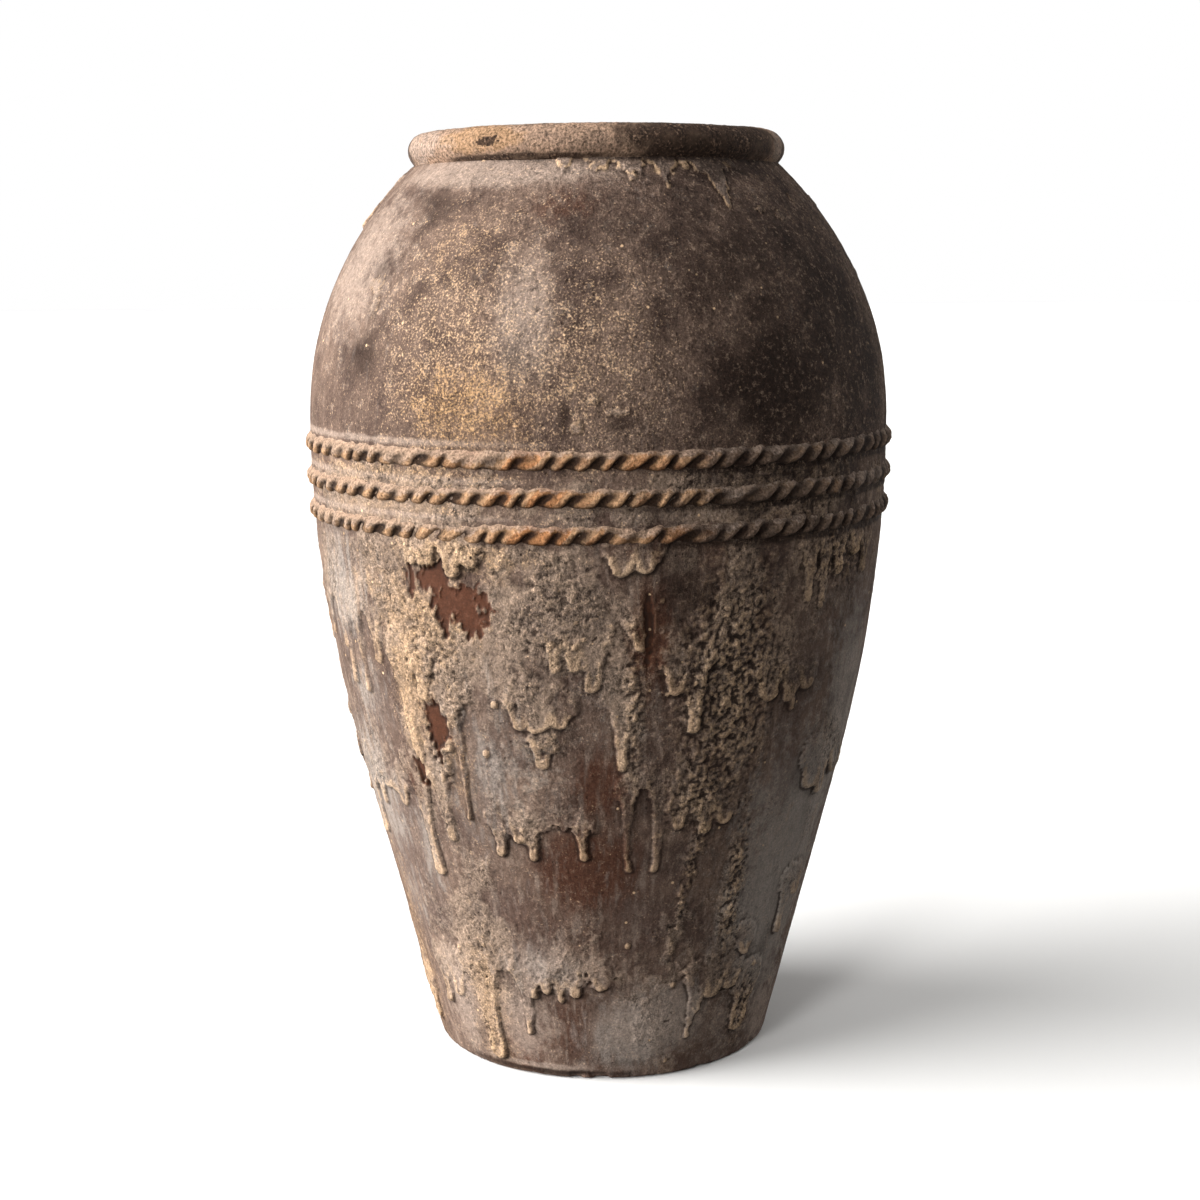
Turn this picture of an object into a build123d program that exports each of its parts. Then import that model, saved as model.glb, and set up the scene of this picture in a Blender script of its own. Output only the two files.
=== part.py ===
"""Greek pithos: a coil-built terracotta storage jar with a rolled rim and three rope bands.

The jar stands on z = 0 with its axis on Z. It is built as a potter builds it: a floor disc, wall courses that are
set one on the other over a pinched ridge, a rim coil on the last course, and rope bands pressed onto the outside.
Every joint is one ridge line that the two pieces share.
"""

import os
from math import atan, cos, sin, sqrt, tan

from build123d import *

# Driving dimensions, in millimetres

# Wall, measured on the outside
BASE_RADIUS = 184.0        # at the floor, before the foot edge is rounded
BELLY_RADIUS = 314.0       # widest wall, where it stands upright
BELLY_HEIGHT = 695.0       # floor to the widest wall
KNEE_DROP = 189.0          # from the belly down to where the straight flank would meet the upright
SHOULDER_RISE = 269.0      # belly to the groove under the rim
WALL = 24.0                # thickness of every wall course, square to its face
FLOOR = 36.0               # thickness of the floor disc
FOOT_ROUND = 5.0           # worn outer edge of the floor disc

# Rim and mouth
MOUTH_RADIUS = 163.0       # round throat inside the rim
RIM_THICKNESS = 39.0       # throat to the outermost line of the roll
RIM_RISE = 36.0            # groove to the top of the roll
ROLL_OVERHANG = 7.0        # how far the roll stands out over the groove
ROLL_DEPTH = 19.0          # outermost line of the roll in to the crown
LIP_ROUND = 10.0           # inner edge of the crown

# Luted joints
LOWER_COURSES = ("foot_course", "lower_flank_course", "middle_flank_course", "belly_course")
UPPER_COURSES = ("girth_course", "shoulder_course", "collar_course")
RIDGE = 7.0                # pinched ridge along the top of a course, and groove of the floor disc
COVE = 26.0                # reach of the coil in the corner between floor and wall
COVE_HOLLOW = 5.0          # depth of the coil's hollow face under its chord

# Rope bands
BAND_NAMES = ("rope_band_lower", "rope_band_middle", "rope_band_upper")
BAND_DROP = 54.0           # belly down to the middle band
BAND_PITCH = 36.3          # one band to the next
BAND_WIDTH = 19.0          # height of the pressed strip
BAND_PROUD = 6.5           # how far its crest stands out from the wall

# Values worked out from them

RIM_RADIUS = MOUTH_RADIUS + RIM_THICKNESS
NECK_RADIUS = RIM_RADIUS - ROLL_OVERHANG
NECK_HEIGHT = BELLY_HEIGHT + SHOULDER_RISE
TOP = NECK_HEIGHT + RIM_RISE
FLANK_ANGLE = atan((BELLY_RADIUS - BASE_RADIUS) / (BELLY_HEIGHT - KNEE_DROP))
BELLY_ARC = KNEE_DROP / tan(FLANK_ANGLE / 2)
SHOULDER_DRAW = BELLY_RADIUS - NECK_RADIUS
SHOULDER_ARC = (SHOULDER_DRAW**2 + SHOULDER_RISE**2) / (2 * SHOULDER_DRAW)
THROAT_HEIGHT = BELLY_HEIGHT + sqrt(
    (SHOULDER_ARC - WALL) ** 2 - (MOUTH_RADIUS - BELLY_RADIUS + SHOULDER_ARC) ** 2
)
BAND_JOINT = BELLY_HEIGHT - BAND_DROP


def flank_top(inset):
    """Height at which the straight flank runs into the belly's curve, `inset` mm under the outer face."""
    return BELLY_HEIGHT - (BELLY_ARC - inset) * sin(FLANK_ANGLE)


def wall_point(height, inset=0.0):
    """Point (radius, height) of the wall's face that lies `inset` mm under the outer face."""
    if height <= flank_top(inset):
        return (BASE_RADIUS + height * tan(FLANK_ANGLE) - inset / cos(FLANK_ANGLE), height)
    arc = BELLY_ARC if height <= BELLY_HEIGHT else SHOULDER_ARC
    return (BELLY_RADIUS - arc + sqrt((arc - inset) ** 2 - (height - BELLY_HEIGHT) ** 2), height)


def joint(outer, inner, ridge=RIDGE):
    """A luted joint: its outer edge, the crest of its ridge in the middle of the wall, and its inner edge."""
    crest = ((outer[0] + inner[0]) / 2, (outer[1] + inner[1]) / 2 + ridge)
    return (outer, crest, inner)


def level_joint(height, ridge=RIDGE):
    """A joint whose two edges lie at one height."""
    return joint(wall_point(height), wall_point(height, WALL), ridge)


def draw_wall_face(bottom, top, inset):
    """Draws the wall's face from one height to another: straight on the flank, arcs above it."""
    bends = [height for height in (flank_top(inset), BELLY_HEIGHT) if bottom < height < top]
    heights = [bottom, *bends, top]
    for low, high in zip(heights, heights[1:]):
        if high <= flank_top(inset):
            Line(wall_point(low, inset), wall_point(high, inset))
        else:
            ThreePointArc(
                wall_point(low, inset), wall_point((low + high) / 2, inset), wall_point(high, inset)
            )


def make_course(below, above):
    """One wall course between two joints."""
    with BuildPart() as course:
        with BuildSketch(Plane.XZ):
            with BuildLine():
                draw_wall_face(below[0][1], above[0][1], 0.0)
                Polyline(*above)
                draw_wall_face(below[-1][1], above[-1][1], WALL)
                Polyline(*below)
            make_face()
        revolve(axis=Axis.Z)
    return course


def make_rope_band(height):
    """One rope band: a half-round strip pressed onto the wall's outer face."""
    low = height - BAND_WIDTH / 2
    high = height + BAND_WIDTH / 2
    crest = (wall_point(height)[0] + BAND_PROUD, height)
    with BuildPart() as band:
        with BuildSketch(Plane.XZ):
            with BuildLine():
                draw_wall_face(low, high, 0.0)
                ThreePointArc(wall_point(low), crest, wall_point(high))
            make_face()
        revolve(axis=Axis.Z)
    return band


def even_heights(low, high, count):
    """The heights of `count` courses of equal height, from low to high, both ends included."""
    return [low + (high - low) * step / count for step in range(count + 1)]


# Joints, from the floor up

lower_heights = even_heights(FLOOR, BAND_JOINT, len(LOWER_COURSES))
upper_heights = even_heights(BAND_JOINT, NECK_HEIGHT, len(UPPER_COURSES))
floor_joint = level_joint(FLOOR, -RIDGE)
wall_joints = [level_joint(height) for height in lower_heights[1:] + upper_heights[1:-1]]
rim_joint = joint((NECK_RADIUS, NECK_HEIGHT), (MOUTH_RADIUS, THROAT_HEIGHT))
joints = [floor_joint, *wall_joints, rim_joint]

pieces = {}

# Floor disc, with the scored groove that the first course is set in

with BuildPart() as base_disc:
    with BuildSketch(Plane.XZ):
        with BuildLine():
            FilletPolyline((0, 0), (BASE_RADIUS, 0), floor_joint[0], radius=FOOT_ROUND)
            Polyline(*floor_joint, (0, FLOOR), (0, 0))
        make_face()
    revolve(axis=Axis.Z)
pieces["base_disc"] = base_disc

# Coil pressed into the corner between the floor and the first course

corner = floor_joint[-1]
cove_foot = (corner[0] - COVE, FLOOR)
cove_head = wall_point(FLOOR + COVE, WALL)
with BuildPart() as cove_coil:
    with BuildSketch(Plane.XZ):
        with BuildLine():
            Polyline(cove_foot, corner, cove_head)
            SagittaArc(cove_head, cove_foot, COVE_HOLLOW)
        make_face()
    revolve(axis=Axis.Z)
pieces["cove_coil"] = cove_coil

# Wall courses

for name, below, above in zip(LOWER_COURSES + UPPER_COURSES, joints, joints[1:]):
    pieces[name] = make_course(below, above)

# Rim coil: a round roll outside, a level crown, and the round throat inside

crown_edge = (RIM_RADIUS - ROLL_DEPTH, TOP)
lip_edge = (MOUTH_RADIUS + LIP_ROUND, TOP)
throat_top = (MOUTH_RADIUS, TOP - LIP_ROUND)
with BuildPart() as rim_roll:
    with BuildSketch(Plane.XZ):
        with BuildLine():
            ThreePointArc(rim_joint[0], (RIM_RADIUS, NECK_HEIGHT + RIM_RISE / 2), crown_edge)
            Line(crown_edge, lip_edge)
            RadiusArc(lip_edge, throat_top, -LIP_ROUND)
            Polyline(throat_top, *reversed(rim_joint))
        make_face()
    revolve(axis=Axis.Z)
pieces["rim_roll"] = rim_roll

# Rope bands, the middle one over the joint of the belly

for step, name in enumerate(BAND_NAMES):
    pieces[name] = make_rope_band(BAND_JOINT + (step - len(BAND_NAMES) // 2) * BAND_PITCH)

os.makedirs("parts", exist_ok=True)
for name, piece in pieces.items():
    piece.part.label = name
    export_step(piece.part, f"parts/{name}.step")
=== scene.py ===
"""Looks of a Greek pithos: wall courses under a lime crust, a sandy rim, rope bands and a worn floor disc.

Angles run in degrees round the jar: 0 is the front, and they grow to the right as seen from there. The
surface is worked out in millimetres on one grid for the whole wall, so that it runs on from course to course,
and the meshes are made from it in metres.
"""

from functools import lru_cache
from itertools import product
from math import pi, radians

import bpy
import numpy as np
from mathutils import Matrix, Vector


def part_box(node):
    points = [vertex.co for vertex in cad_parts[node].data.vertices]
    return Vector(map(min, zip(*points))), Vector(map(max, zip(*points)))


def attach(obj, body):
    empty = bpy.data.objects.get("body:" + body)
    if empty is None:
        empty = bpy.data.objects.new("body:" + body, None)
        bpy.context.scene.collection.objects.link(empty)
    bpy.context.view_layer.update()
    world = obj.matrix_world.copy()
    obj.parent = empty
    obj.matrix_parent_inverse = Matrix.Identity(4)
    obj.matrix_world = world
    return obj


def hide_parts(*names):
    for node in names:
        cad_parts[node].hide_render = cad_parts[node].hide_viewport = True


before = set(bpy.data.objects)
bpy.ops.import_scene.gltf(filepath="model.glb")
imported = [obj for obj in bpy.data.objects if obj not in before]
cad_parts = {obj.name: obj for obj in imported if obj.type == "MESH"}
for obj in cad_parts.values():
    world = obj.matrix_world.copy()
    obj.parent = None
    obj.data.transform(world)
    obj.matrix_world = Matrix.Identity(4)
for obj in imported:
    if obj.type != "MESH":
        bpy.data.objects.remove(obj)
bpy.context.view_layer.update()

bl_info = {
    "name": "Pithos looks",
    "version": (1, 0, 0),
    "blender": (4, 5, 0),
    "location": "3D View > Sidebar > Pithos",
    "description": "Builds the weathered surface of a coil-built storage jar around its packed model",
    "category": "Add Mesh",
}

MM = 0.001
COURSES = (
    "foot_course",
    "lower_flank_course",
    "middle_flank_course",
    "belly_course",
    "girth_course",
    "shoulder_course",
    "collar_course",
)
BANDS = ("rope_band_lower", "rope_band_middle", "rope_band_upper")

# Grid of the modelled surface

ROUND = 1024           # points round the wall and the rim
ROUND_INSIDE = 256     # points round faces that are hardly seen
ROW = 1.72             # mm from row to row on the wall
ROW_INSIDE = 14.0      # mm from row to row inside the jar
LOBE_POINTS = 20       # points round the jar in each lobe of a rope band
BAND_ROWS = 24         # rows across a rope band
BAKE_STRIPS = 3        # strips that the outside face is cut into for baking

SEED = 1907
LATTICE = 64           # cells in each direction before the noise repeats

# Lime crust. Each sheet: first angle, last angle, height of its lower edge, then its drips as
# (angle, height of the tip, half width)

SHEETS = (
    # Left flank
    (-76.0, -45.5, 512, ((-72, 470, 5), (-64, 462, 5), (-61.6, 424, 7), (-56.8, 419, 6), (-50.6, 455, 6.5))),
    (-41.0, -20.0, 585, ((-37.5, 568, 4.5), (-33.5, 561, 6), (-28, 558, 6), (-24.5, 569, 5))),
    (-46.0, -36.5, 470, ((-42.5, 352, 9), (-38.0, 425, 6))),
    (-74.0, -50.0, 322, ((-69.5, 247, 10), (-62.7, 289, 5), (-58, 314, 5), (-54.5, 314, 4), (-52, 298, 6))),
    (-49.0, -33.0, 345, ((-43.8, 224, 9), (-37.0, 270, 6))),
    (-60.0, -47.0, 112, ((-55.5, 63, 6), (-48.4, 78, 7))),
    (-79.0, -64.0, 70, ((-72, 25, 9),)),
    (-46.0, -30.0, 125, ((-37.0, 11, 12),)),
    # Front
    (-36.0, -25.0, 425, ((-30.8, 298, 4.5), (-33.5, 372, 6))),
    (-21.0, -6.5, 428, ((-16.7, 405, 5), (-13.2, 404, 10), (-8.1, 408, 6))),
    (-17.0, -9.5, 388, ((-12.1, 364, 5),)),
    (-12.0, 0.5, 500, ((-8.3, 466, 5), (-5.3, 467, 5), (-1.9, 445, 8))),
    (-27.0, -1.0, 296, ((-23.5, 262, 4.5), (-19, 281, 4), (-15.5, 260, 5), (-4.5, 263, 4))),
    (
        -28.0, 4.0, 119,
        ((-23.1, 50, 5), (-19.5, 98, 3), (-16, 104, 3), (-11.9, 94, 3.5), (-7.8, 102, 3.5), (-0.4, 111, 3.5)),
    ),
    (0.0, 12.0, 580, ((3.8, 564, 6), (8.7, 567, 6))),
    (4.5, 11.0, 507, ((7.4, 488, 5),)),
    (1.5, 5.5, 440, ((3.8, 360, 7),)),
    (4.0, 15.0, 335, ((5.9, 247, 4.5), (12.7, 245, 6))),
    # Right flank
    (10.0, 23.0, 470, ((14, 440, 6), (18.1, 398, 8))),
    (16.0, 37.0, 310, ((17.3, 294, 4), (23.7, 287, 5), (28.6, 295, 5))),
    (30.0, 38.0, 450, ((35.2, 424, 8),)),
    (40.0, 66.0, 580, ((43.6, 521, 6), (47.4, 512, 5), (52.5, 545, 6), (58.7, 562, 5), (63, 540, 6))),
    (38.0, 50.0, 442, ((41, 420, 4), (42.5, 408, 4), (46, 430, 5))),
    (50.0, 74.0, 340, ((54.6, 311, 10), (59.7, 300, 8), (67, 318, 9))),
    (25.0, 41.0, 112, ((27, 42, 4.5), (28.6, 73, 5), (32.6, 89, 6), (38.8, 95, 6))),
    (43.0, 51.0, 90, ((46.9, 37, 9),)),
    (40.5, 44.5, 146, ((42.3, 135, 5),)),
    (56.0, 64.0, 196, ((61.7, 183, 5), (58.0, 140, 6))),
)
BACK = (82.0, 278.0)           # angles of the side away from the front, where the crust falls by chance
BACK_SHEETS = 26
SHEET_DEPTH = (3.0, 5.0)       # mm, thickness of a sheet near its edge
SHEET_FADE = 60.0              # mm in from its edge over which a sheet thins out
SHEET_SIDE = 30.0              # mm over which the sides of a sheet die away
COVER_FADE = 80.0              # mm in from its edge over which a sheet loses its pale colour
UNDER_FADE = 45.0              # mm below its edge over which the wall is free of plaster
DRIP_BLEND = 12.0              # mm over which a drip runs into its sheet
DRIP_FLARE = 28.0              # mm under the edge over which a drip is wider
CRUST_LIMIT = 6.0              # mm, the most that all sheets together reach
EDGE_RAGGED = 14.0             # mm that the lower edge of a sheet wanders up and down
DRIP_RAGGED = 3.4              # mm that a drip wanders to either side
LIP_RAGGED = 2.8               # mm that the rim of a sheet or drip is frayed
LIP_IN = 4.0                   # mm from the edge of a sheet in to its thick lip
LIP_WIDTH = 4.5                # mm
SIDE_RAGGED = 9.0              # mm that the sides of a sheet wander
SHOULDER = (640, 690)          # mm over the floor, where the flank's plaster gives way to the shoulder

# Tones of the weathered wall: (angle, height, half width in degrees, half height in mm, strength)

TONES = {
    "plaster": (
        (-32, 500, 17, 60, 0.8),
        (-6, 505, 15, 60, 0.7),
        (-40, 330, 6, 100, 0.7),
        (-64, 540, 14, 50, 0.5),
        (-60, 330, 12, 24, 0.4),
        (-36, 130, 8, 90, 0.9),
        (-12, 130, 16, 24, 0.5),
        (50, 560, 14, 50, 0.6),
        (62, 350, 10, 50, 0.5),
        (34, 110, 8, 60, 0.5),
        (-14, 305, 12, 18, 0.4),
        (-14, 420, 8, 24, 0.4),
        (-35, 578, 40, 18, 0.7),
        (15, 90, 9, 40, 0.5),
        (0, 641, 300, 40, 0.45),
        (-48, 641, 34, 40, 0.75),
    ),
    "ochre": (
        (-24, 722, 11, 42, 1.0),
        (-41, 440, 5, 75, 0.8),
        (-31, 360, 3, 60, 0.7),
        (-37, 60, 7, 70, 0.9),
        (-71, 110, 7, 130, 0.9),
        (-29, 578, 14, 22, 0.6),
        (-38, 520, 13, 50, 0.6),
        (-30, 880, 10, 30, 0.3),
        (-42, 659, 34, 12, 0.5),
        (-42, 623, 34, 12, 0.4),
    ),
    "dust": (
        (-32, 952, 34, 14, 1.0),
        (-62, 860, 16, 75, 0.7),
        (-20, 622, 40, 12, 0.3),
        (20, 622, 40, 10, 0.3),
        (-26, 62, 9, 40, 0.9),
        (-47, 80, 8, 60, 0.8),
        (62, 40, 12, 40, 0.7),
        (0, 12, 20, 10, 0.5),
        (-20, 13, 24, 4, 0.9),
        (20, 72, 10, 36, 1.0),
        (-14, 810, 6, 60, 0.8),
        (40, 55, 12, 45, 0.5),
        (8, 62, 9, 36, 0.7),
        (-15, 130, 12, 30, 0.6),
    ),
    "slate": (
        (54, 210, 16, 140, 1.0),
        (66, 330, 10, 70, 0.8),
        (-15, 360, 9, 45, 0.35),
        (15, 75, 10, 45, 0.6),
        (62, 470, 12, 60, 0.5),
        (5, 430, 6, 60, 0.3),
    ),
    "rust": (
        (-7, 917, 9, 17, 0.5),
        (-4, 252, 11, 42, 1.0),
        (-0.5, 345, 5, 32, 0.9),
        (9.5, 500, 4, 48, 1.0),
        (-46, 330, 3, 26, 0.6),
        (-8, 60, 9, 50, 0.6),
        (0, 10, 9, 9, 0.8),
        (-26, 36, 9, 36, 0.85),
        (-12, 160, 26, 120, 0.3),
        (12, 590, 12, 22, 0.4),
        (44, 330, 5, 50, 0.4),
        (24, 30, 12, 30, 0.4),
    ),
    "lime": (
        (-62, 530, 9, 60, 0.7),
        (-58, 420, 8, 40, 0.5),
        (-66, 310, 12, 70, 0.75),
        (-62, 190, 10, 60, 0.35),
        (-47, 250, 5, 50, 0.5),
        (-26, 350, 9, 90, 0.4),
        (-18, 135, 12, 26, 0.5),
        (22, 70, 9, 34, 0.9),
        (50, 190, 10, 90, 0.85),
        (58, 300, 10, 80, 0.9),
        (8, 55, 12, 36, 0.9),
        (66, 400, 8, 80, 1.0),
        (40, 300, 8, 60, 0.5),
        (38, 190, 7, 60, 0.6),
    ),
    "mauve": (
        (-57, 230, 13, 85, 0.9),
        (-56, 385, 10, 40, 0.6),
        (-35, 300, 5, 60, 0.6),
        (44, 345, 7, 70, 0.7),
        (-20, 200, 16, 60, 0.4),
        (10, 210, 10, 60, 0.5),
    ),
    "sand": (
        (-27, 800, 20, 105, 1.0),
        (-4, 780, 18, 100, 0.95),
        (28, 800, 30, 110, 0.3),
        (-60, 780, 12, 80, 0.3),
    ),
    "soot": (
        (36, 740, 15, 60, 0.9),
        (28, 850, 22, 90, 0.55),
        (56, 800, 20, 140, 0.7),
        (-50, 778, 6, 28, 0.7),
        (-15, 780, 3, 35, 0.4),
        (-42, 915, 9, 30, 0.5),
        (48, 640, 14, 45, 0.6),
        (26, 625, 12, 40, 0.45),
        (-5.9, 722, 1.2, 17, 0.8),
        (3.4, 711, 2.4, 8, 0.7),
        (60, 400, 18, 200, 0.25),
        (40, 955, 22, 16, 0.6),
        # Dark ring in the groove under the rim on the right: painted shadow, partly dirt
        (32, 964, 40, 5, 0.9),
        (4, 900, 13, 36, 0.45),
        (8, 845, 9, 40, 0.35),
        (12, 790, 10, 50, 0.3),
        (10, 330, 10, 60, 0.25),
        (16, 540, 9, 50, 0.5),
        (-34, 850, 30, 60, 0.25),
        # Dark line along the chipped lower edge of the foot: painted shade
        (-20, 7, 24, 3, 0.9),
    ),
    "rim_soot": (
        (36, 985, 27, 40, 0.9),
        (10, 995, 6, 8, 0.6),
        (48, 980, 9, 30, 1.0),
        (-20, 966, 30, 4, 0.7),
    ),
    "rim_ochre": (
        (-36, 986, 14, 16, 0.8),
    ),
    "rim_dust": (
        (-68, 985, 15, 24, 0.7),
        (-48, 984, 3, 6, 0.8),
        (74, 985, 10, 20, 0.7),
    ),
    "coarse": (
        (26, 450, 9, 105, 1.0),
        (22, 340, 7, 40, 0.8),
        (52, 565, 10, 25, 0.7),
        (47, 62, 4, 36, 0.8),
        (-36, 480, 8, 36, 0.6),
        (35, 210, 2.5, 75, 0.9),
        (-34, 160, 5, 50, 0.4),
        (-12, 386, 4, 14, 0.6),
        (6.5, 430, 2.2, 75, 0.7),
        (36, 640, 14, 44, 0.5),
        (23, 288, 1.7, 22, 0.9),
        (21.6, 248, 1.4, 26, 0.8),
        (20, 204, 1.2, 26, 0.7),
        (18.6, 160, 1.2, 22, 0.5),
        (-7, 530, 13, 50, 0.3),
        (-12, 450, 10, 30, 0.25),
    ),
}
BACK_TONES = 7                 # of each kind on the side away from the front

# Places where the crust has flaked off down to the clay: (angle, height, half width in mm, half height in mm)

FLAKES = (
    (-34, 552, 26, 17),
    (-27, 530, 36, 30),
    (-35.8, 397, 17, 31),
    (-42.5, 346, 8, 17),
    (9, 505, 6, 36),
)
BACK_FLAKES = 9
FLAKE_DEPTH = 0.9              # mm under the crust around it

# Scraps of crust that are left by themselves, in the same terms

SCRAPS = (
    (43, 914, 7, 5),
    (49, 908, 7, 4),
    (60, 925, 6, 6),
    (-50, 824, 6, 16),
    (-51.5, 842, 12, 8),
    (-3.6, 706, 6, 8),
    (-0.7, 734, 6, 4),
    (3.8, 722, 13, 4),
)
BACK_SCRAPS = 10
SCRAP_DEPTH = 1.3              # mm

# Lower edge of the coat that peels off under the rim: (angle, height)

PEEL = (
    (-12, 970), (-10, 955), (-9, 953), (-6, 966), (-3, 963), (0, 951), (2, 953), (4, 959),
    (6, 951), (10, 942), (12, 948), (14.5, 960), (17, 950), (18.5, 935), (20, 948), (24, 961),
    (28, 952), (31, 945), (33.5, 909), (34.5, 925), (38, 948), (42, 955), (47, 970),
)
PEEL_DEPTH = 1.5               # mm

# Beads of lime: (angle, height, radius in mm)

BEADS = (
    (-9, 496, 4),
    (-4.8, 493, 4),
    (-4.5, 518, 3),
    (-3.1, 501, 3),
    (-21.3, 430, 5),
    (-24.4, 376, 5),
    (11.5, 538, 3),
    (13, 442, 3),
    (18.4, 452, 3),
    (33.5, 372, 3.5),
    (6.5, 162, 4),
    (42.5, 136, 5),
    (48.5, 116, 4),
    (20, 112, 4),
    (20, 19, 3),
    (-34.2, 152, 3.5),
    (-43.8, 142, 4),
)
BACK_BEADS = 20

# Floor disc

UNDER_RINGS = (20, 90, 150)    # mm, radii of the rings under the floor
UNDER_EDGE = 8.0               # mm from the foot's round in to the last ring under the floor
FLOOR_RINGS = (130, 90, 50, 20)  # mm, radii of the rings on the floor, after the one in the corner
FOOT_CHIP = 16.0               # mm from chip to chip along the foot
FOOT_CHIP_HEIGHT = (2, 14)     # mm over the floor, where the chips are deepest and where they end

# Rim

RIM_CHIP = (-32, 983, 3.2, 6)  # angle, height, half width in degrees, half height in mm
RIM_CHIP_DEPTH = 0.8           # mm
RIM_DROP = 1.0                 # mm that the dented roll lies under its own line, so that it keeps its height
RIM_ROWS = (34, 7, 11, 16)     # rings of the roll, the crown, the lip and the throat

# Rope bands

LOBES = 78
PRESS_LEAN = (0.28, 0.5)       # lobes that a mark leans to the right over half a band, at the left and right
PRESS_WIDTH = 0.27             # half width of a press mark, in lobes
PRESS_SKEW = (0.65, 1.25)      # the same on its steep left side and its gentle right side, as shares
BAND_SPREAD = 1.2              # height of the pressed lobes, as a share of the strip they were pressed from
PRESS_CREST = -0.2             # where the band stands out most, from -1 at its lower edge to 1 at its upper
PRESS_MIDDLE = -0.3            # where a press mark is deepest, in the same terms
PRESS_DEPTH = 1.0              # depth of the press marks, as a share of the band's stand
BAND_STAGGER = 0.37            # lobes that each band is shifted from the one below
BAND_ROOT = 3.0                # mm that the back of a band reaches into the wall

# Clay: a dull dielectric that is rubbed so fine by weather that it hardly shines

CLAY_IOR = 1.5
CLAY_GLOSS = 0.12

# Camera, fitted to the front view

CAMERA_PLACE = (0.0, -2.3, 0.875)
CAMERA_PITCH = 9.53            # degrees under the horizon
CAMERA_ROLL = -0.5             # degrees
CAMERA_FOCAL_PIXELS = 2088
PICTURE_PIXELS = 1200
SENSOR = 36.0                  # mm

# Lights: name, angle round the jar, height over the horizon, strength, softness in degrees

LIGHTS = (
    ("window_light", -81, 18, 12.3, 60),
    ("room_light", -26, 24, 1.4, 12),
    ("ceiling_light", 0, 88, 0.9, 70),
    ("wall_bounce", 122, 18, 1.25, 40),
)
SKY_STRENGTH = 0.04            # of the light that comes from above
BOUNCE_STRENGTH = 0.3          # of the light that comes up from the floor
FLOOR_REACH = 30.0             # m from the jar to the floor's edge
FLOOR_COLOUR = "#E1E0DE"


def linear(hex_colour):
    """An sRGB hex colour as linear RGBA."""
    shares = [int(hex_colour[place:place + 2], 16) / 255 for place in (1, 3, 5)]
    return tuple(s / 12.92 if s <= 0.04045 else ((s + 0.055) / 1.055) ** 2.4 for s in shares) + (1.0,)


def length_property(name, description, default):
    """A length in metres that the user can change."""
    return bpy.props.FloatProperty(
        name=name, description=description, default=default, min=0.001, unit="LENGTH", precision=4
    )


def colour_property(name, description, hex_colour):
    """A colour that the user can change."""
    return bpy.props.FloatVectorProperty(
        name=name, description=description, default=linear(hex_colour), size=4, min=0, max=1, subtype="COLOR"
    )


class PithosSizes(bpy.types.PropertyGroup):
    """Sizes of the jar's surface, as in its CAD model."""

    base_radius: length_property("Base radius", "Outside of the wall at the floor", 0.184)
    foot_round: length_property("Foot round", "Worn outer edge of the floor disc", 0.005)
    belly_radius: length_property("Belly radius", "Widest wall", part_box("girth_course")[1].x)
    belly_height: length_property("Belly height", "Floor to the widest wall", 0.695)
    knee_drop: length_property("Knee drop", "Belly down to where the flank would meet the upright", 0.189)
    neck_radius: length_property("Neck radius", "Wall in the groove under the rim", 0.195)
    neck_height: length_property("Neck height", "Floor to the groove under the rim", 0.964)
    wall: length_property("Wall", "Thickness of the wall courses", 0.024)
    ridge: length_property("Ridge", "Height of the ridge in a joint", 0.007)
    rim_radius: length_property("Rim radius", "Outermost line of the roll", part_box("rim_roll")[1].x)
    rim_crown: length_property("Rim crown", "Outer edge of the level crown", 0.183)
    mouth_radius: length_property("Mouth radius", "Throat inside the rim", 0.163)
    lip_round: length_property("Lip round", "Inner edge of the crown", 0.010)
    band_width: length_property("Band width", "Height of a rope band", 0.019)
    band_proud: length_property("Band stand", "Crest of a rope band over the wall", 0.0065)


class PithosColours(bpy.types.PropertyGroup):
    """Colours of the clay and of what lies on it."""

    clay: colour_property("Weathered clay", "Wall where the crust is thin", "#69564A")
    clay_dark: colour_property("Darker clay", "Mottling of the wall", "#4B3B33")
    crust: colour_property("Lime crust", "Pale sheets and drips", "#947F6D")
    crust_grey: colour_property("Grey crust", "Dirty parts of the crust", "#63554C")
    ochre: colour_property("Ochre stain", "Golden runs and drips", "#8F6E4C")
    dust: colour_property("Dust", "Pinkish dust on ledges", "#948275")
    lime: colour_property("Lime wash", "Thin grey-white lime on the flanks", "#938980")
    slate: colour_property("Slate bloom", "Blue-grey smooth places", "#857A71")
    mauve: colour_property("Mauve clay", "Smooth purple-brown places", "#54443C")
    sand: colour_property("Sand", "Cream grains on the shoulder", "#C6A582")
    orange: colour_property("Orange clay", "Bare lobes of the rope bands", "#A0673A")
    gold: colour_property("Golden sand", "Ochre grains on the shoulder", "#B58F63")
    bare: colour_property("Bare clay", "Red clay under the crust", "#452718")
    rust: colour_property("Rust stain", "Dark red-brown stains of the wall", "#472C20")
    # Soot colour, also used for painted shade in hollows, under the rope bands, in the groove under the rim
    # and along the foot
    soot: colour_property("Soot", "Smoke-blackened places", "#231711")
    rim: colour_property("Sandy rim", "Clay of the rolled rim", "#8F7561")
    rope: colour_property("Rope clay", "Clay of the rope bands", "#B38C68")
    inside: colour_property("Inside clay", "Smoothed clay inside and underneath", "#725441")


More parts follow.
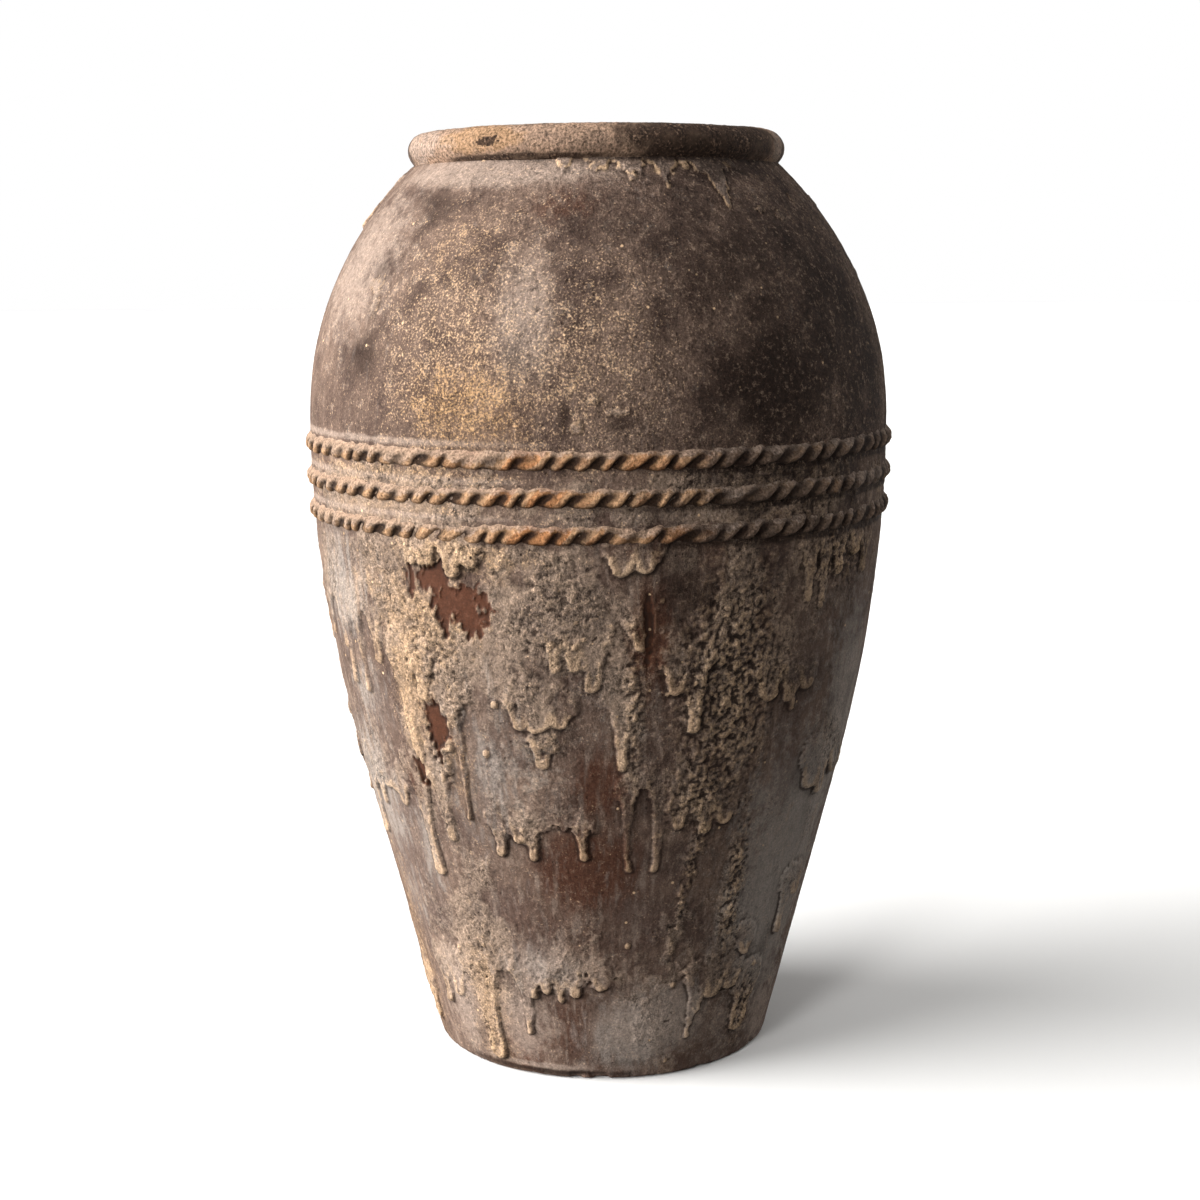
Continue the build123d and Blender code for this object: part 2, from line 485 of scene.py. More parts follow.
class WallLine:
    """The wall in section: its radius and the lean of its face at any height, in millimetres."""

    def __init__(self, sizes):
        self.base = sizes.base_radius / MM
        self.belly = sizes.belly_radius / MM
        self.belly_height = sizes.belly_height / MM
        knee = sizes.knee_drop / MM
        rise = (sizes.neck_height - sizes.belly_height) / MM
        draw = (sizes.belly_radius - sizes.neck_radius) / MM
        self.flank = np.arctan((self.belly - self.base) / (self.belly_height - knee))
        self.belly_arc = knee / np.tan(self.flank / 2)
        self.shoulder_arc = (draw**2 + rise**2) / (2 * draw)

    def lean(self, height, inset=0.0):
        """Angle of the outward normal over the horizon."""
        over = np.asarray(height, float) - self.belly_height
        arc = np.where(over < 0, self.belly_arc, self.shoulder_arc) - inset
        return np.maximum(np.arcsin(np.clip(over / arc, -1, 1)), -self.flank)

    def radius(self, height, inset=0.0):
        """Radius of the face that lies `inset` mm under the outer one."""
        lean = self.lean(height, inset)
        arc = np.where(np.asarray(height) < self.belly_height, self.belly_arc, self.shoulder_arc)
        curved = self.belly - arc + (arc - inset) * np.cos(lean)
        straight = self.base + np.asarray(height) * np.tan(self.flank) - inset / np.cos(self.flank)
        return np.where(lean <= -self.flank + 1e-9, straight, curved)


def smooth_step(value, low, high):
    """0 below low, 1 above high, and an even rise between."""
    share = np.clip((value - low) / (high - low), 0, 1)
    return share * share * (3 - 2 * share)


@lru_cache(maxsize=None)
def lattice_slopes(seed):
    """Random unit slopes for every cell corner of the noise."""
    slopes = np.random.default_rng(seed).normal(size=(LATTICE**3, 3))
    return (slopes / np.linalg.norm(slopes, axis=1, keepdims=True)).astype(np.float32)


def noise(points, size, seed):
    """Smooth noise of about -1 to 1 at points in mm, with its hills about `size` mm apart."""
    place = (points / size).astype(np.float32)
    cell = np.floor(place)
    part = place - cell
    cell = cell.astype(np.int32)
    fade = part * part * part * (part * (part * 6 - 15) + 10)
    slopes = lattice_slopes(SEED + seed)
    total = np.zeros(points.shape[:-1], np.float32)
    for corner in product((0, 1), repeat=3):
        weight = np.float32(1)
        index = np.int32(0)
        for axis in range(3):
            weight = weight * (fade[..., axis] if corner[axis] else 1 - fade[..., axis])
            index = index * LATTICE + (cell[..., axis] + corner[axis]) % LATTICE
        slope = slopes[index]
        total += weight * sum(slope[..., axis] * (part[..., axis] - corner[axis]) for axis in range(3))
    return 1.6 * total


def turned(angles, radii, heights):
    """Points round the axis from angles in degrees, radii and heights."""
    turn = np.radians(angles)
    radii, heights = np.broadcast_arrays(radii, heights)
    return np.stack([radii * np.sin(turn), -radii * np.cos(turn), heights + 0 * turn], axis=-1)


def angle_between(angles, middle):
    """Angles from a middle one, from -180 to 180."""
    return (angles - middle + 180) % 360 - 180


def round_from(angles, middle, radii):
    """Distances in mm round the wall from a middle angle, for rows of these radii."""
    return angle_between(angles, middle)[None, :] * radians(1) * radii[:, None]


def round_angles(count):
    """Even angles of `count` points round the jar, from the back."""
    return -180 + 360 * np.arange(count) / count


def rightward_share(angles):
    """0 at the left of the jar and 1 at its right, as seen from the front."""
    return 0.5 + 0.5 * np.sin(np.radians(angles))


def wobble(points):
    """Unevenness of a wall that was built by hand, in mm."""
    return 1.3 * noise(points, 210, 1) + 0.7 * noise(points, 85, 2)


@lru_cache(maxsize=None)
def back_chances():
    """Sheets, tones, flakes, scraps and beads for the side away from the front, always the same ones."""
    # Angles and half widths of sheets in degrees, all else in mm
    chance = np.random.default_rng(SEED)
    sheets = []
    for _ in range(BACK_SHEETS):
        middle = chance.uniform(*BACK)
        half = chance.uniform(4, 14)
        edge = chance.choice((chance.uniform(95, 580), chance.uniform(800, 955)), p=(0.8, 0.2))
        drips = [
            (
                chance.uniform(middle - half, middle + half),
                edge - chance.gamma(1.6, 22) - 8,
                chance.uniform(4, 9),
            )
            for _ in range(chance.integers(2, 6))
        ]
        sheets.append((middle - half, middle + half, edge, tuple(drips)))
    tones = {}
    for name, front in TONES.items():
        heights = [tone[1] for tone in front]
        tones[name] = [
            (
                chance.uniform(*BACK),
                chance.choice(heights) + chance.normal(0, 30),
                chance.uniform(5, 18),
                chance.uniform(30, 95),
                chance.uniform(0.4, 1.0),
            )
            for _ in range(BACK_TONES)
        ]
    flakes, scraps, beads = (
        [tuple(chance.uniform(*span) for span in (BACK, *spans)) for _ in range(count)]
        for count, spans in (
            (BACK_FLAKES, ((60, 560), (10, 45), (10, 40))),
            (BACK_SCRAPS, ((690, 960), (5, 12), (5, 14))),
            (BACK_BEADS, ((20, 560), (3, 5))),
        )
    )
    return sheets, tones, flakes, scraps, beads


def tone(name, angles, heights, edge=1):
    """How strongly a tone lies at given angles and heights, from 0 to 1. A higher `edge` ends it sooner."""
    total = np.zeros(np.broadcast(angles, heights).shape, np.float32)
    for middle, height, half_width, half_height, strength in (*TONES[name], *back_chances()[1][name]):
        across = angle_between(angles, middle) / half_width
        along = (heights - height) / half_height
        total = np.maximum(total, strength * np.exp(-0.7 * (across**2 + along**2) ** edge))
    return total


def smooth_min(one, other, blend):
    """The smaller of two distances, rounded where they cross."""
    share = np.clip(0.5 + 0.5 * (other - one) / blend, 0, 1)
    return other + (one - other) * share - blend * share * (1 - share)


def lay_sheet(layers, grid, ragged, worn, sheet, depth):
    """Adds one sheet of lime crust with its drips to the crust's thickness, its pale cover and its toes."""
    crust, cover, pale, cleared = layers
    first, last, edge, drips = sheet
    angles, heights, radii = grid
    lowest = min(edge, *(tip for _, tip, _ in drips)) - 2.5 * UNDER_FADE
    highest = edge + 3 * COVER_FADE
    rows = np.flatnonzero((heights > lowest) & (heights < highest))
    columns = np.flatnonzero(np.abs(angle_between(angles, (first + last) / 2)) < (last - first) / 2 + 9)
    patch = np.ix_(rows, columns)
    height = heights[rows][:, None]
    radius = radii[rows][:, None]
    rough = ragged[patch]
    off_middle = angle_between(angles[columns], (first + last) / 2)[None, :]
    outside = (np.abs(off_middle) - (last - first) / 2) * radians(1) * radius
    distance = edge + EDGE_RAGGED * rough - height
    nearest = np.full(distance.shape, 99.0)
    toe = np.zeros(distance.shape)
    shaft = np.zeros(distance.shape)
    for angle, tip, half in drips:
        sway = 0.35 * half * np.sin(height / (4.2 * half + 9) + 7 * angle)
        across = round_from(angles[columns], angle, radii[rows]) + DRIP_RAGGED * rough + sway
        under = np.maximum(tip + half - height, 0)
        above = np.maximum(height - edge - 10, 0)
        rise = height - tip - half
        bulge = np.exp(-((rise / (1.5 * half)) ** 2))
        flare = np.exp(-np.maximum(edge - height, 0) / DRIP_FLARE)
        taper = np.clip((height - tip) / max(edge - tip, 4 * half), 0, 1)
        width = 0.6 + 0.26 * bulge + 1.1 * flare + 0.5 * taper + 0.4 * rough
        drip = np.hypot(across, under + above) - half * width
        near_tip = np.exp(-np.maximum(rise, 0) / (2.4 * half))
        toe = np.maximum(toe, near_tip * smooth_step(-drip, -1, 2))
        shaft = np.maximum(shaft, (1 - near_tip) * smooth_step(edge - 12 - height, 0, 20))
        nearest = np.minimum(nearest, drip)
        distance = smooth_min(distance, drip, DRIP_BLEND)
    deep = -(distance + LIP_RAGGED * rough)
    within = -outside + SIDE_RAGGED * rough
    held = np.maximum(smooth_step(within, -2, SHEET_SIDE), smooth_step(-nearest, -9, -1))
    body = np.exp(-np.maximum(deep, 0) / SHEET_FADE)
    lip = np.exp(-(((deep - LIP_IN) / LIP_WIDTH) ** 2))
    inside = smooth_step(deep, -0.3, 3.0) * held
    added = depth * inside * ((0.6 * body + 0.15 * lip) * (1 - 0.35 * shaft) * worn[patch] + 0.3 * toe)
    crust[patch] += added * np.clip(1 - crust[patch] / CRUST_LIMIT, 0, 1)
    patchy = np.clip(0.8 + 0.7 * rough, 0.25, 1)
    faded = np.exp(-np.maximum(deep, 0) / COVER_FADE) * (1 - 0.75 * shaft) * patchy
    cover[patch] = np.maximum(cover[patch], inside * faded)
    pale[patch] = np.maximum(pale[patch], inside * lip * np.clip(0.2 + toe + 0.6 * rough, 0, 1))
    below = np.maximum(-deep, 0)
    free = smooth_step(below, 0, 5) * np.exp(-below / UNDER_FADE) * smooth_step(within, -15, 15)
    cleared[patch] = np.maximum(cleared[patch], free)


def torn_places(points, grid, places, tear):
    """Places with edges that are torn down the wall every `tear` mm, from 0 outside them to 1 inside."""
    angles, heights, radii = grid
    torn = 0.6 * noise(points * (1, 1, 0.35), tear, 11) + 0.4 * noise(points * (1, 1, 0.7), 0.4 * tear, 12)
    torn += 0.55 * np.maximum(noise(points * (1, 1, 0.5), max(0.3 * tear, 4), 26), 0)
    inside = np.zeros(torn.shape, np.float32)
    for middle, height, half_width, half_height in places:
        across = round_from(angles, middle, radii) / half_width
        along = (heights[:, None] - height) / half_height
        inside = np.maximum(inside, smooth_step(1 - torn - np.hypot(across, along), -0.12, 0.3))
    return inside


def lay_beads(shape, grid, beads):
    """Height of round beads of lime over the wall, in mm."""
    angles, heights, radii = grid
    domes = np.zeros(shape, np.float32)
    for middle, height, radius in beads:
        across = round_from(angles, middle, radii)
        off = np.hypot(across, heights[:, None] - height) / (0.8 * radius)
        domes = np.maximum(domes, 0.5 * radius * np.sqrt(np.clip(1 - off**2, 0, 1)))
    return domes


def hollows(relief, reach):
    """How far each place lies under its surroundings, in mm."""
    around = relief.copy()
    for axis in (0, 1):
        summed = around
        for step in range(1, reach + 1):
            summed = summed + np.roll(around, step, axis) + np.roll(around, -step, axis)
        around = summed / (2 * reach + 1)
    return around - relief


@lru_cache(maxsize=None)
def wall_surface():
    """The whole outer wall: its angles, heights, radii and lean, its relief in mm and its fields."""
    line = wall_line()
    joints = joint_heights()
    heights = np.concatenate([
        np.linspace(low, high, max(2, round((high - low) / ROW)), endpoint=False)
        for low, high in zip([0.0, *joints], joints)
    ] + [joints[-1:]])
    radii = line.radius(heights)
    angles = round_angles(ROUND)
    points = turned(angles[None, :], radii[:, None], heights[:, None])

    grid = (angles, heights, radii)
    sheets, _, flakes, scraps, beads = back_chances()
    ragged = 0.65 * noise(points, 26, 3) + 0.5 * noise(points, 9, 4) + 0.35 * noise(points, 4.2, 5)
    worn = 0.4 + 0.6 * smooth_step(noise(points, 36, 6), -0.5, 0.2)
    bare = torn_places(points, grid, (*FLAKES, *flakes), 15)
    scrap = torn_places(points, grid, (*SCRAPS, *scraps), 8)
    domes = lay_beads(ragged.shape, grid, (*BEADS, *beads))
    over_edge = heights[:, None] - np.interp(angles, *zip(*PEEL)) + 6 * ragged + 9 * noise(points, 9, 24)
    coat = smooth_step(over_edge, 0, 3)
    coat_edge = np.exp(-(((over_edge - 2.5) / 2.2) ** 2)) * smooth_step(noise(points, 14, 23), -0.4, 0.2)
    layers = [np.zeros(ragged.shape, np.float32) for _ in range(4)]
    chance = np.random.default_rng(SEED + 1)
    for sheet in (*SHEETS, *sheets):
        lay_sheet(layers, grid, ragged, worn, sheet, chance.uniform(*SHEET_DEPTH))
    crust, cover, pale, cleared = (layer * (1 - bare) for layer in layers)

    # Granular plaster thins out towards its edges, and the shoulder is nearly free of it
    fields = {name: tone(name, angles[None, :], heights[:, None]) for name in TONES if "rim" not in name}
    torn = 0.5 * noise(points * (1, 1, 0.65), 40, 16) + 0.3 * noise(points * (1, 1, 0.8), 14, 17)
    torn = torn + 0.2 * ragged
    shoulder = smooth_step(heights[:, None], *SHOULDER)
    coarse = fields["coarse"]
    plaster = fields["plaster"] + 0.7 * coarse + 0.8 * torn - 0.5 * shoulder
    plaster = smooth_step(plaster, 0.05, 0.65) * (1 - bare)
    plaster = np.maximum(plaster * (1 - 0.9 * cleared * (1 - cover)), 0.6 * cover)
    plaster = plaster * (1 - 0.8 * fields["rust"])
    grains = 0.7 * noise(points, 16, 13) + 0.5 * noise(points, 7, 14)
    grains = grains + 0.6 * np.maximum(noise(points, 3.9, 9), 0)
    knobs = 0.8 * noise(points, 13, 18) + 0.6 * noise(points, 7, 19) + 0.5 * noise(points, 3.8, 25)
    smooth_clay = np.clip(fields["mauve"] + fields["slate"] + bare, 0, 1) * (1 - plaster)
    patchy = 0.4 + 0.8 * smooth_step(noise(points * (1, 1, 0.8), 42, 20), -0.35, 0.4)
    rightward = rightward_share(angles)
    leathery = 0.85 * shoulder * rightward
    rough = 0.25 + 0.75 * patchy * plaster + 0.6 * coarse + leathery - 0.2 * smooth_clay
    rough = np.clip(rough, 0.06, 1.2)
    runs = noise(points * (1, 1, 0.14), 8, 10)
    pits = smooth_step(noise(points, 8, 15), 0.5, 0.7) * np.clip(plaster + coarse, 0, 1)
    relief = (
        crust
        + SCRAP_DEPTH * scrap * (1 + 0.3 * grains)
        + PEEL_DEPTH * coat * (1 + 0.3 * grains)
        + plaster * (0.5 + 1.3 * patchy * grains)
        + 0.28 * rough * (grains + ragged)
        + 0.2 * runs
        + 3.3 * coarse * knobs
        - 1.0 * pits
        - FLAKE_DEPTH * bare
        + domes
    )
    # The sheets' pale cover is kept strong on the lit left of the jar and cut back in front and on the right:
    # partly painted light
    lit_side = smooth_step(-np.sin(np.radians(angles)), 0.4, 0.8)
    fields["cover"] = np.maximum(cover * (0.3 + 0.6 * lit_side), 0.6 * scrap)
    fields["plaster"] = plaster
    fields["pale"] = np.clip(pale + 3 * scrap * (1 - scrap) + 1.6 * coat_edge + domes, 0, 3)
    fields["dust"] = np.maximum(fields["dust"], 0.5 * coat)
    fields["bare"] = bare

    # Painted shadow under the rope bands towards the unlit right, and dust on the ledge over them, kept to
    # the lit left as partly painted light
    for name in BANDS:
        low, high = (corner.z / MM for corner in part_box(name))
        # A dark line just under each band, on the right only: painted shadow
        painted_band_shadow = np.exp(-(((heights[:, None] - low + 3) / 5) ** 2)) * smooth_step(rightward, 0.4, 0.8)
        # Dust on the ledge over each band, kept to the lit left: partly painted light
        ledge_dust_and_painted_light = 0.8 * np.exp(-(((heights[:, None] - high - 4) / 4) ** 2)) * smooth_step(rightward, 0.55, 0.2)
        fields["soot"] = np.maximum(fields["soot"], painted_band_shadow)
        fields["dust"] = np.maximum(fields["dust"], ledge_dust_and_painted_light)
    fields["rough"] = rough
    fields["runny"] = 1 - 0.8 * smooth_step(heights, 560, 660)[:, None] + 0 * rough
    # Painted shade: places that lie under their surroundings are darkened, more towards the unlit right
    pores, dips = (np.clip(hollows(relief, reach) / depth, -1, 1) for reach, depth in ((2, 0.8), (8, 2.0)))
    fields["hollow"] = (pores + 0.5 * dips) * (0.6 + 0.8 * rightward)
    # Raised lumps of the coarse crust are painted pale, partly sandy crumbs and partly painted highlight,
    # together with the cream edge of the peeling coat
    fields["crumb"] = np.clip(0.6 * np.clip(-fields["hollow"], 0, 1) * coarse + 0.7 * coat_edge, 0, 1)
    return angles, heights, radii, line.lean(heights), relief + wobble(points), fields


def wall_line():
    """The wall's section from the current sizes."""
    return WallLine(bpy.context.scene.pithos_sizes)


def joint_heights():
    """Heights of the outer edges of the joints, from the floor disc to the rim, in mm."""
    sizes = bpy.context.scene.pithos_sizes
    lower = [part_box("base_disc")[1].z, *(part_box(name)[0].z for name in COURSES[1:])]
    return np.array([*lower, sizes.neck_height]) / MM


def join_rings(low_count, high_count):
    """Corners of the faces between two rings: points along the lower ring, then back along the upper one."""
    count = min(low_count, high_count)
    low_step = low_count // count
    high_step = high_count // count
    first = np.arange(count)[:, None]
    low = first * low_step + np.arange(low_step + 1)
    high = first * high_step + np.arange(high_step, -1, -1)
    return low, high


def make_piece(name, rings, shown, fields, materials, sharp=(), capped=False):
    """A closed piece from rings of points in mm round the axis. Rings `shown` are its outside face."""
    counts = [len(ring) for ring in rings]
    starts = np.cumsum([0, *counts])
    total = len(rings)
    pairs = [(ring, ring + 1) for ring in range(total - 1)] + ([] if capped else [(total - 1, 0)])
    corners, sizes, places, finishes = [], [], [], []
    for low_ring, high_ring in pairs:
        low, high = join_rings(counts[low_ring], counts[high_ring])
        faces = np.hstack([
            starts[low_ring] + low % counts[low_ring], starts[high_ring] + high % counts[high_ring]
        ])
        across = np.hstack([low / counts[low_ring], high / counts[high_ring]])
        level = np.hstack([0 * low + low_ring, 0 * high + low_ring + 1]).astype(float)
        outside = shown[0] <= low_ring < shown[1]
        if outside:
            strip = np.floor(across[:, :1] * BAKE_STRIPS)
            across = across * BAKE_STRIPS - strip
            level = (level - shown[0]) / (shown[1] - shown[0])
        else:
            strip = BAKE_STRIPS
            level = level / total
        place = np.stack([0.01 + 0.98 * across, (strip + 0.02 + 0.96 * level) / (BAKE_STRIPS + 1)], axis=-1)
        corners.append(faces.ravel())
        sizes.append(np.full(len(faces), faces.shape[1]))
        places.append(place.reshape(-1, 2))
        finishes.append(np.full(len(faces), 0 if outside else len(materials) - 1))
    if capped:
        for start, count, step in ((0, counts[0], -1), (starts[-2], counts[-1], 1)):
            cap = start + np.arange(count)[::step]
            turn = 2 * pi * np.arange(count) / count
            corners.append(cap)
            sizes.append(np.array([count]))
            places.append(np.stack([0.9 + 0.02 * np.cos(turn), 0.97 + 0.02 * np.sin(turn)], axis=-1))
            finishes.append(np.array([len(materials) - 1]))

    mesh = bpy.data.meshes.new(name)
    corners = np.concatenate(corners)
    sizes = np.concatenate(sizes)
    mesh.vertices.add(starts[-1])
    mesh.vertices.foreach_set("co", (np.concatenate(rings) * MM).astype(np.float32).ravel())
    mesh.loops.add(len(corners))
    mesh.polygons.add(len(sizes))
    mesh.polygons.foreach_set("loop_start", np.concatenate([[0], np.cumsum(sizes)[:-1]]).astype(np.int32))
    mesh.polygons.foreach_set("vertices", corners.astype(np.int32))
    mesh.polygons.foreach_set("material_index", np.concatenate(finishes).astype(np.int32))
    mesh.polygons.foreach_set("use_smooth", np.ones(len(sizes), bool))
    places = np.concatenate(places).astype(np.float32)
    mesh.uv_layers.new(name="OFBake").data.foreach_set("uv", places.ravel())
    mesh.update(calc_edges=True)
    for field, values in fields.items():
        spread = np.zeros(starts[-1], np.float32)
        spread[starts[shown[0]]:starts[shown[1] + 1]] = values.ravel()
        mesh.attributes.new(field, "FLOAT", "POINT").data.foreach_set("value", spread)
    ends = np.zeros(len(mesh.edges) * 2, np.int32)
    mesh.edges.foreach_get("vertices", ends)
    ring_of = np.repeat(np.arange(total), counts)[ends.reshape(-1, 2)]
    creased = (ring_of[:, 0] == ring_of[:, 1]) & np.isin(ring_of[:, 0], sharp)
    mesh.attributes.new("sharp_edge", "BOOLEAN", "EDGE").data.foreach_set("value", creased)
    if mesh.validate():
        raise RuntimeError(f"{name}: its mesh has broken faces")
    for material in materials:
        mesh.materials.append(material)
    piece = bpy.data.objects.new(f"{name}_surface", mesh)
    bpy.context.scene.collection.objects.link(piece)
    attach(piece, "root")
    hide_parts(name)
    return piece


def add_node(tree, kind, inputs=None, output=0, **settings):
    """Adds a node with its settings, fills its sockets with values or links, and gives one of its outputs."""
    node = tree.nodes.new(kind)
    for name, value in settings.items():
        setattr(node, name, value)
    for socket, value in (inputs or {}).items():
        if isinstance(value, bpy.types.NodeSocket):
            tree.links.new(value, node.inputs[socket])
        else:
            node.inputs[socket].default_value = value
    return node.outputs[output] if node.outputs else None


def per_metre(size):
    """Scale of a texture whose pattern repeats every `size` mm."""
    return 1 / (size * MM)


def start_material(name):
    """A material of that name with an empty node tree."""
    material = bpy.data.materials.get(name) or bpy.data.materials.new(name)
    material.use_nodes = True
    material.node_tree.nodes.clear()
    return material, material.node_tree


def lay_grains(tree, coords, *grains):
    """Patterns of a material, each from its grain in mm, detail, roughness and, if drawn out, its stretch."""
    patterns = []
    for size, detail, roughness, *stretch in grains:
        place = coords
        for scale in stretch:
            place = add_node(tree, "ShaderNodeMapping", {"Vector": place, "Scale": scale})
        look = {"Vector": place, "Scale": per_metre(size), "Detail": detail, "Roughness": roughness}
        patterns.append(add_node(tree, "ShaderNodeTexNoise", look))
    return patterns


def lay_coats(tree, ground, coats):
    """Lays coats of colour on a ground, each with the share that it covers.

    A colour is a name from the palette or a socket. A share is a socket, or a pattern with two of its values,
    between which the share grows from nothing to its most, and the field that holds it back if there is one.
    """
    paint = bpy.context.scene.pithos_colours
    colour = tuple(getattr(paint, ground)) if isinstance(ground, str) else ground
    for coat, share in coats:
        coat = tuple(getattr(paint, coat)) if isinstance(coat, str) else coat
        if isinstance(share, tuple):
            pattern, low, high, most, *fields = share
            ramp = {"Value": pattern, "From Min": low, "From Max": high, "To Max": most}
            share = add_node(tree, "ShaderNodeMapRange", ramp)
            for field in fields:
                share = add_node(tree, "ShaderNodeMath", {0: share, 1: field}, operation="MULTIPLY")
        colour = add_node(tree, "ShaderNodeMix", {0: share, 6: colour, 7: coat}, 2, data_type="RGBA")
    return colour


def broken_cover(tree, field, pattern, strength=1.0, raggedness=2.2):
    """Share of a coat that follows a field of the surface, with its edges broken up by a pattern."""
    amount = add_node(tree, "ShaderNodeAttribute", output="Fac", attribute_name=field)
    swing = {0: pattern, 1: raggedness, 2: -0.5 * raggedness}
    swing = add_node(tree, "ShaderNodeMath", swing, operation="MULTIPLY_ADD")
    torn = add_node(tree, "ShaderNodeMath", {0: amount, 1: swing}, operation="ADD")
    ramp = {"Value": torn, "From Min": 0.12, "From Max": 0.78, "To Max": strength}
    return add_node(tree, "ShaderNodeMapRange", ramp, interpolation_type="SMOOTHSTEP")


def grained(tree, colour, pattern, amount):
    """A colour that is darker and paler from grain to grain."""
    twice = add_node(tree, "ShaderNodeMath", {0: pattern, 1: 2.0}, operation="MULTIPLY")
    shade = add_node(tree, "ShaderNodeMath", {0: twice, 1: amount}, operation="POWER")
    return add_node(tree, "ShaderNodeVectorMath", {0: colour, "Scale": shade}, operation="SCALE")


def finish_clay(tree, colour, roughness, height, depth):
    """Closes a clay material: a dull dielectric with fine relief of up to `depth` mm."""
    bump = add_node(tree, "ShaderNodeBump", {"Height": height, "Strength": 1.0, "Distance": depth * MM})
    look = {"Base Color": colour, "Roughness": roughness, "Normal": bump}
    look.update({"IOR": CLAY_IOR, "Specular IOR Level": CLAY_GLOSS})
    shader = add_node(tree, "ShaderNodeBsdfPrincipled", look)
    add_node(tree, "ShaderNodeOutputMaterial", {"Surface": shader})


def limed_terracotta():
    """Wall: coil-built terracotta that lay in the ground, under a crust of lime, stains and soot, with
    painted shade in its hollows, under the rope bands and in the groove under the rim.
    """
    # To the eye it is dead matt and changes from patch to patch, with pale grains and dark pores. Real grit
    # is under 1 mm and would not show, so the grains of sand are drawn 2 mm apart and the grit 6 mm apart
    material, tree = start_material("limed_terracotta")
    coords = add_node(tree, "ShaderNodeTexCoord", output="Object")
    fleck, grit, blotch, mottle, cloud, runs = lay_grains(
        tree,
        coords,
        (2.1, 3, 0.6),
        (6, 4, 0.8),
        (15, 5, 0.72),
        (48, 5, 0.62),
        (130, 5, 0.6),
        (9, 5, 0.6, (1, 1, 0.12)),
    )
    frayed, stained, clumps = (
        add_node(tree, "ShaderNodeMix", {0: 0.5, 2: one, 3: other})
        for one, other in ((grit, blotch), (blotch, mottle), (grit, fleck))
    )
    rough, runny, bare, sand, ochre, hollow, crumb = (
        add_node(tree, "ShaderNodeAttribute", output="Fac", attribute_name=field)
        for field in ("rough", "runny", "bare", "sand", "ochre", "hollow", "crumb")
    )

    # A few specks of lime, and pinholes that crowd together in the plaster
    spacing = add_node(tree, "ShaderNodeTexVoronoi", {"Vector": coords, "Scale": per_metre(8)}, "Distance")
    draw = add_node(tree, "ShaderNodeSeparateColor", {"Color": spacing.node.outputs["Color"]}).node.outputs
    few, some = (
        add_node(tree, "ShaderNodeMath", {0: chance, 1: share}, operation="LESS_THAN")
        for chance, share in ((draw[0], 0.02), (draw[1], 0.35))
    )
    spot, spongy, covered, dullness = (
        add_node(
            tree,
            "ShaderNodeMapRange",
            {"Value": value, "From Min": low, "From Max": high, "To Min": first, "To Max": last},
        )
        for value, low, high, first, last in (
            (spacing, 0.22, 0.14, 0, 1),
            (mottle, 0.48, 0.6, 0, 1),
            (bare, 0, 1, 1, 0),
            (bare, 0, 1, 0.95, 0.75),
        )
    )
    pinhole = spot
    for share in (some, spongy, rough):
        pinhole = add_node(tree, "ShaderNodeMath", {0: pinhole, 1: share}, operation="MULTIPLY")

    # Sand lies thick where its field is strong, golden where the ochre field is, and thin under soot and
    # painted shade
    # The soot field also holds painted shadow under the rope bands, in the groove under the rim and along the
    # foot
    soot = broken_cover(tree, "soot", mottle, 0.85, 1.3)
    heaped = fleck
    for field, share in ((blotch, 0.5), (sand, 0.15), (ochre, 0.1), (soot, -0.12)):
        heaped = add_node(tree, "ShaderNodeMath", {0: field, 1: share, 2: heaped}, operation="MULTIPLY_ADD")
    grains = lay_coats(tree, "sand", [("gold", broken_cover(tree, "ochre", blotch))])

    ground = lay_coats(tree, "clay", [
        ("clay_dark", (mottle, 0.38, 0.62, 1.0)),
        ("clay_dark", (cloud, 0.45, 0.68, 0.6)),
        ("mauve", broken_cover(tree, "mauve", mottle)),
        ("slate", broken_cover(tree, "slate", blotch)),
        ("clay_dark", (runs, 0.5, 0.66, 0.6, runny)),
        ("dust", (runs, 0.48, 0.32, 0.35, runny)),
        ("rust", broken_cover(tree, "rust", runs, 0.95, 1.5)),
    ])
    limed = lay_coats(tree, "crust", [
        ("crust_grey", (stained, 0.42, 0.6, 1.0)),
        ("sand", broken_cover(tree, "ochre", blotch, 0.5)),
    ])
    colour = lay_coats(tree, ground, [
        # Pale cover of the sheets, stronger on the lit left: partly painted light
        (limed, broken_cover(tree, "cover", frayed, 0.7, 2.4)),
        (limed, broken_cover(tree, "plaster", frayed, 0.75)),
        ("lime", broken_cover(tree, "lime", runs, 0.6, 1.8)),
        ("dust", broken_cover(tree, "dust", blotch, 0.65, 1.4)),
        ("ochre", broken_cover(tree, "ochre", frayed, 0.15)),
        ("sand", broken_cover(tree, "pale", grit, 0.35, 1.2)),
        # Painted highlight on raised lumps, with sandy crumbs and the cream edge of the peeling coat
        ("sand", crumb),
        ("bare", broken_cover(tree, "bare", frayed, 1.0, 2.6)),
        ("soot", soot),
        ("crust", (grit, 0.54, 0.68, 0.5, rough)),
        ("soot", (grit, 0.46, 0.3, 0.7, rough)),
        (grains, (heaped, 0.9, 1.07, 0.55, covered)),
        ("sand", (spacing, 0.22, 0.14, 1.0, few)),
        # Painted shade in the hollows
        ("soot", (hollow, 0.15, 1.0, 0.8)),
        ("soot", pinhole),
    ])
    amount = add_node(tree, "ShaderNodeMath", {0: rough, 1: 1.8, 2: 0.9}, operation="MULTIPLY_ADD")
    rubbed = add_node(tree, "ShaderNodeMath", {0: grit, 1: rough}, operation="MULTIPLY")
    relief = add_node(tree, "ShaderNodeMath", {0: pinhole, 1: -0.4, 2: rubbed}, operation="MULTIPLY_ADD")
    finish_clay(tree, grained(tree, colour, clumps, amount), dullness, relief, 6.0)
    return material


